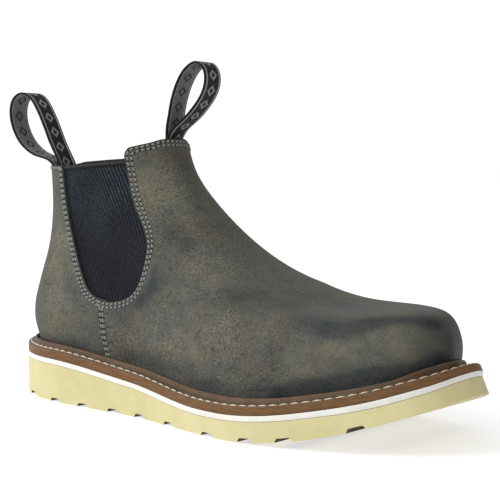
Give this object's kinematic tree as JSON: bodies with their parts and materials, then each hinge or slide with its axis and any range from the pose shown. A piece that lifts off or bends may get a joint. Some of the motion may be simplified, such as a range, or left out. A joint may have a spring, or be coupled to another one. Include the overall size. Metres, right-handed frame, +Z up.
{
  "type": "work boot",
  "caption": "Ankle-high pull-on leather work boot with elastic side gores, webbing pull loops, a stitched welt and a pale wedge sole.",
  "frame": {"origin": "middle of the boot's footprint box, on the floor", "axes": "+X towards the toe, +Y towards the inner (big toe) side of the right foot, +Z up"},
  "size_m": [0.3192, 0.1137, 0.1904],
  "materials": {
    "outsole": "matte blown wedge",
    "midsole": "matte",
    "welt": "burnished edge",
    "insole": "matte",
    "upper": "waxed, mottled",
    "gore": "ribbed elastic",
    "webbing": "woven"
  },
  "bodies": {
    "root": {"outsole": "outsole", "midsole": "midsole", "welt": "welt", "insole": "insole", "upper": "upper", "gore_lateral": "gore", "gore_medial": "gore", "pull_loop_front": "webbing", "pull_loop_back": "webbing"}
  },
  "joints": []
}
